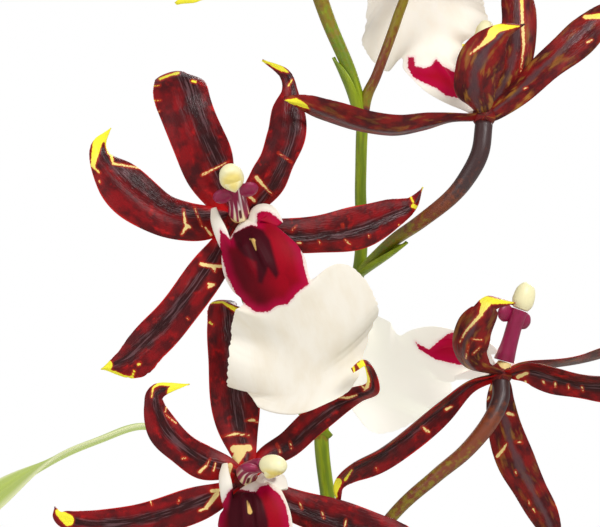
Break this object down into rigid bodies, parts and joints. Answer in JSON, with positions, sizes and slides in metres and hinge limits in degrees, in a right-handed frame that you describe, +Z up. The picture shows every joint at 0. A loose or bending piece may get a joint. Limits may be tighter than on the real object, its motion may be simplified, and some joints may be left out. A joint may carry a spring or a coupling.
{
  "type": "potted orchid plant in flower",
  "caption": "Orchid plant in a round clay pot of bark: pseudobulbs, strap leaves and a tall spray of star-shaped maroon blooms with broad white lips.",
  "frame": {"origin": "centre of the pot's flat base, where it rests", "axes": "+Z up along the pot and the flower stem, -Y towards the viewer of the spray's front, +X to the viewer's right"},
  "size_m": [0.348, 0.2077, 0.5324],
  "materials": {
    "clay": "matte",
    "bark": "matte",
    "root": "matte",
    "pseudobulb": "satin",
    "leaf": "satin",
    "flower_stem": "satin",
    "tepal": "satin",
    "lip": "matte",
    "column": "satin",
    "anther_cap": "satin",
    "bud": "satin"
  },
  "bodies": {
    "root": {"clay_pot": "clay", "bark": "bark", "rhizome_and_roots": "root", "pseudobulb_oldest": "pseudobulb", "pseudobulb_second": "pseudobulb", "pseudobulb_lead": "pseudobulb", "pseudobulb_shoot": "pseudobulb", "leaf_seen_left": "leaf", "leaf_back_right": "leaf", "leaf_front_right": "leaf", "leaf_low_right": "leaf", "leaf_far_left": "leaf", "leaf_front_left": "leaf", "leaf_sheath_front": "leaf", "leaf_sheath_back": "leaf", "leaf_sheath_left": "leaf", "leaf_shoot_outer": "leaf", "leaf_shoot_inner": "leaf", "bloom_a_tepals": "tepal", "bloom_a_lip": "lip", "bloom_a_column": "column", "bloom_a_anther_cap": "anther_cap", "bloom_b_tepals": "tepal", "bloom_b_lip": "lip", "bloom_b_column": "column", "bloom_b_anther_cap": "anther_cap", "bloom_c_tepals": "tepal", "bloom_c_lip": "lip", "bloom_c_column": "column", "bloom_c_anther_cap": "anther_cap", "bloom_d_tepals": "tepal", "bloom_d_lip": "lip", "bloom_d_column": "column", "bloom_d_anther_cap": "anther_cap", "bloom_e_tepals": "tepal", "bloom_e_lip": "lip", "bloom_e_column": "column", "bloom_e_anther_cap": "anther_cap", "bloom_f_tepals": "tepal", "bloom_f_lip": "lip", "bloom_f_column": "column", "bloom_f_anther_cap": "anther_cap", "flower_spike": "flower_stem", "bud_low": "bud", "bud_mid": "bud", "bud_top": "bud"}
  },
  "joints": []
}
